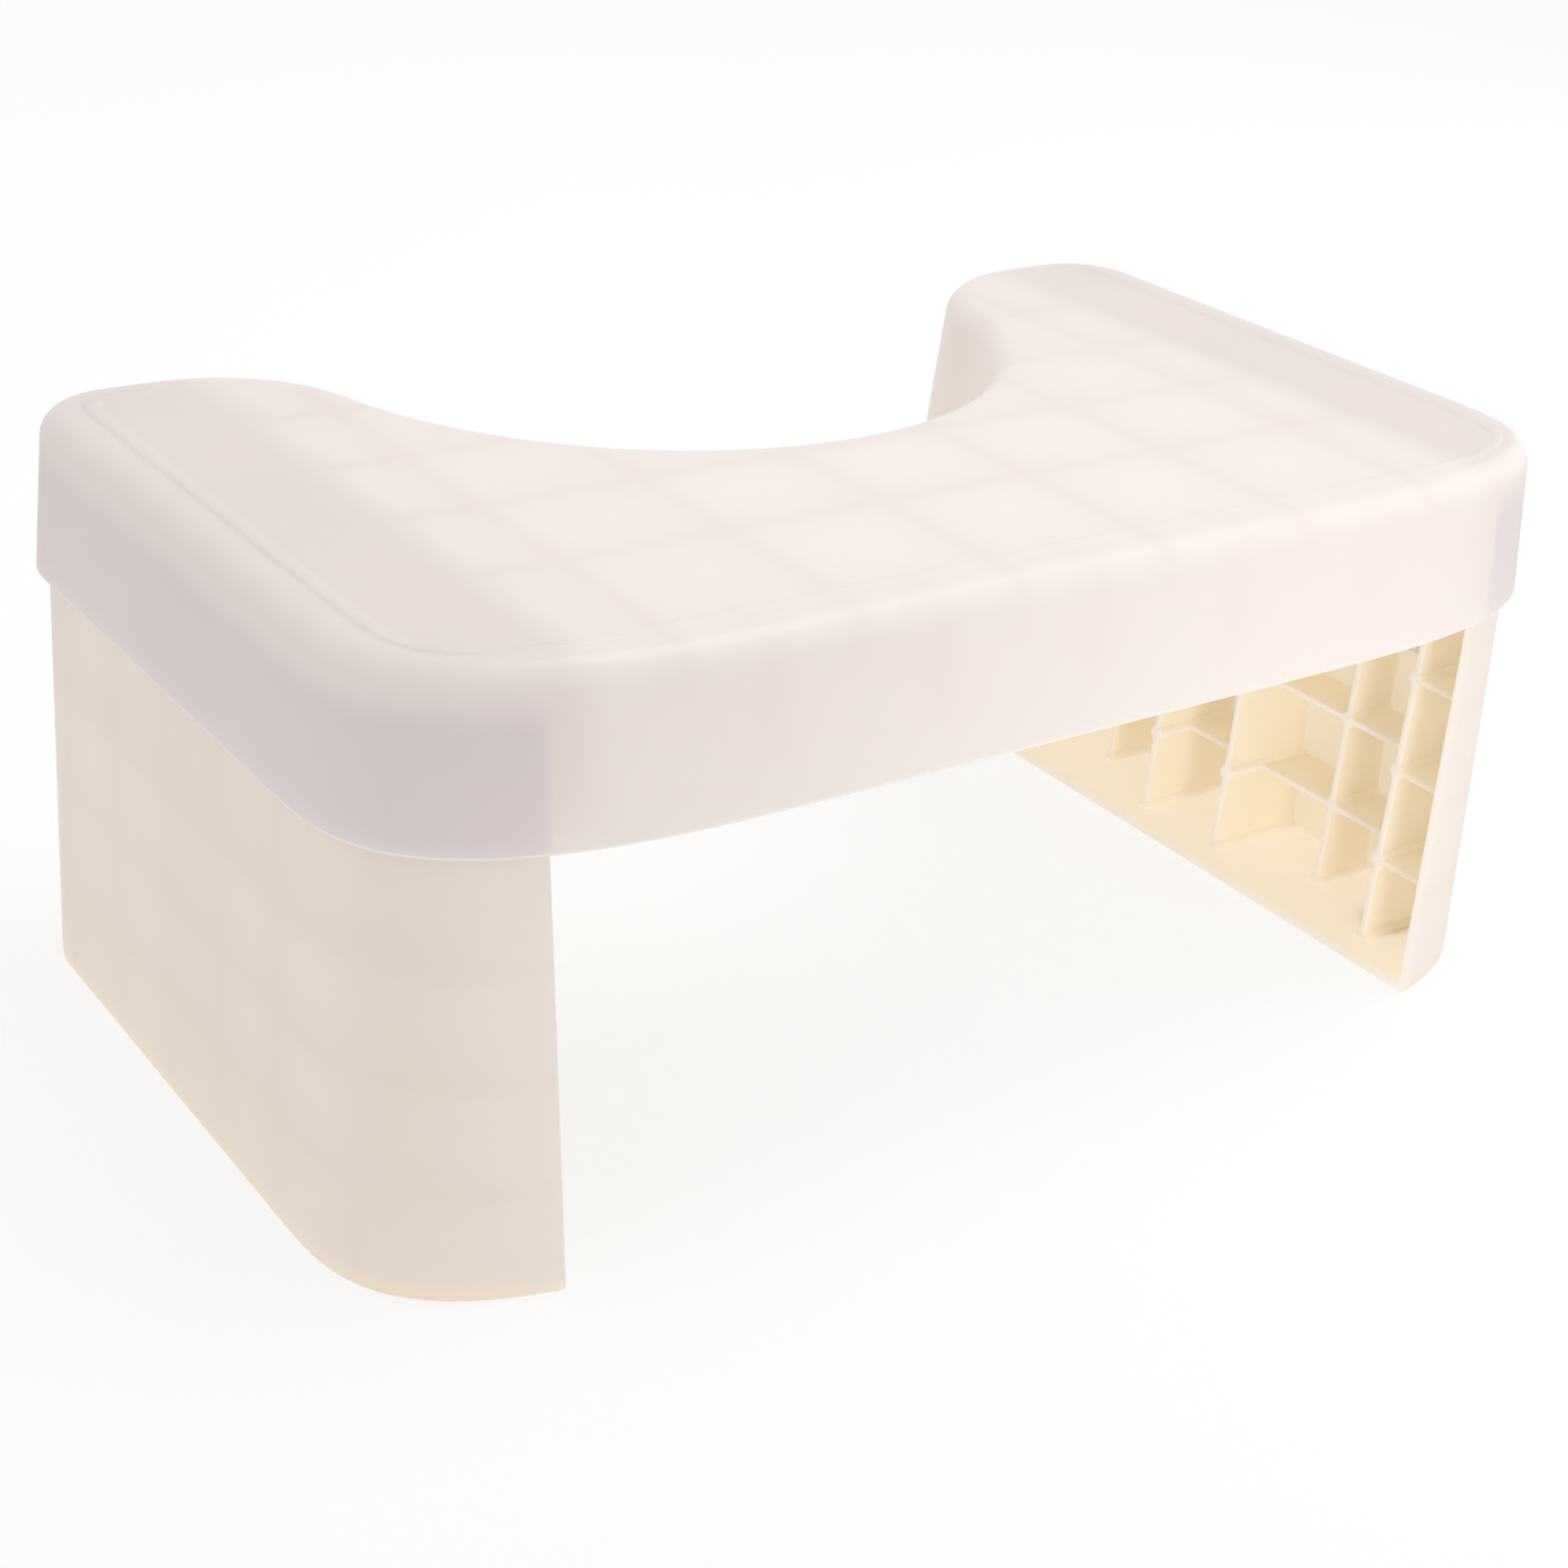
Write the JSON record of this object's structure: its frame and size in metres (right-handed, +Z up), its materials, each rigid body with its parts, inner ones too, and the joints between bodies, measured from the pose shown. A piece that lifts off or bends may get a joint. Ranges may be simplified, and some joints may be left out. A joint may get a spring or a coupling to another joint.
{
  "type": "toilet footstool",
  "caption": "Low plastic footstool with a deep skirt, a round cut for a toilet bowl and push-in tray legs on non-slip pads.",
  "frame": {"origin": "on the floor, under the middle of the stool's length and depth", "axes": "+X along the length towards the right leg, +Y towards the bowl cut, +Z up"},
  "size_m": [0.42, 0.254, 0.1806],
  "materials": {
    "ivory_top": "satin moulded polypropylene, slightly translucent",
    "ivory_leg": "satin moulded polypropylene, slightly translucent",
    "pad": "matt soft rubber"
  },
  "bodies": {
    "top": {"stool_top": "ivory_top"},
    "left_leg": {"left_leg": "ivory_leg", "left_front_pad": "pad", "left_rear_pad": "pad"},
    "right_leg": {"right_leg": "ivory_leg", "right_front_pad": "pad", "right_rear_pad": "pad"}
  },
  "joints": [
    {"name": "left_leg_pull", "type": "slide", "parent": "top", "child": "left_leg", "axis": [0, 0, -1], "range_m": [0, 0.055]},
    {"name": "right_leg_pull", "type": "slide", "parent": "top", "child": "right_leg", "axis": [0, 0, -1], "range_m": [0, 0.055]}
  ]
}
